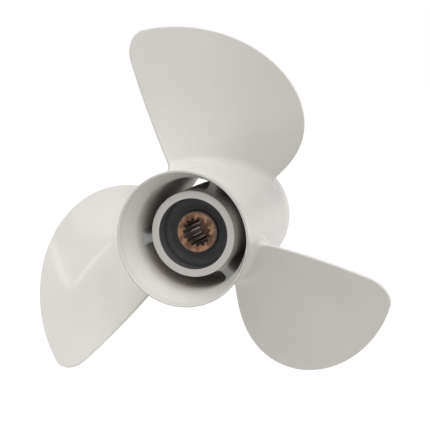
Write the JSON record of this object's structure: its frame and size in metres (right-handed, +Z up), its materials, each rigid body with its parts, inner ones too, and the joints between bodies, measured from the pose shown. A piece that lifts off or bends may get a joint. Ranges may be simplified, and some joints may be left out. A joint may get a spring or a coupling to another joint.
{
  "type": "outboard boat propeller",
  "caption": "Right-hand boat propeller with swept, raked blades on a through-hub exhaust barrel, and a rubber-cushioned splined bronze sleeve inside its inner hub.",
  "frame": {"origin": "on the shaft axis, level with the middle of the blade roots", "axes": "+Y forward along the propeller shaft, towards the gearcase; -Y aft, towards the exhaust mouth; +Z up with the first blade on top"},
  "size_m": [0.3184, 0.1552, 0.2929],
  "materials": {
    "paint": "glossy pale grey enamel over cast aluminium",
    "bare_casting": "bare cast aluminium with a machined end face and paint overspray",
    "rubber": "matte black moulded rubber",
    "bronze": "machined bronze, dulled, with broached spline teeth"
  },
  "bodies": {
    "sleeve": {"splined_sleeve": "bronze"},
    "damper": {"rubber_damper": "rubber"},
    "casting": {"hub_barrel": "paint", "inner_hub": "bare_casting", "blade_1": "paint", "blade_2": "paint", "blade_3": "paint", "web_1": "bare_casting", "web_2": "bare_casting", "web_3": "bare_casting"}
  },
  "joints": [
    {"name": "damper_windup", "type": "hinge", "parent": "sleeve", "child": "damper", "pos_m": [0, 0, 0], "axis": [0, 1, 0], "range_deg": [-8, 8], "stiffness_Nm_per_rad": 1650},
    {"name": "hub_slip", "type": "hinge", "parent": "damper", "child": "casting", "pos_m": [0, 0, 0], "axis": [0, 1, 0], "continuous": true}
  ]
}
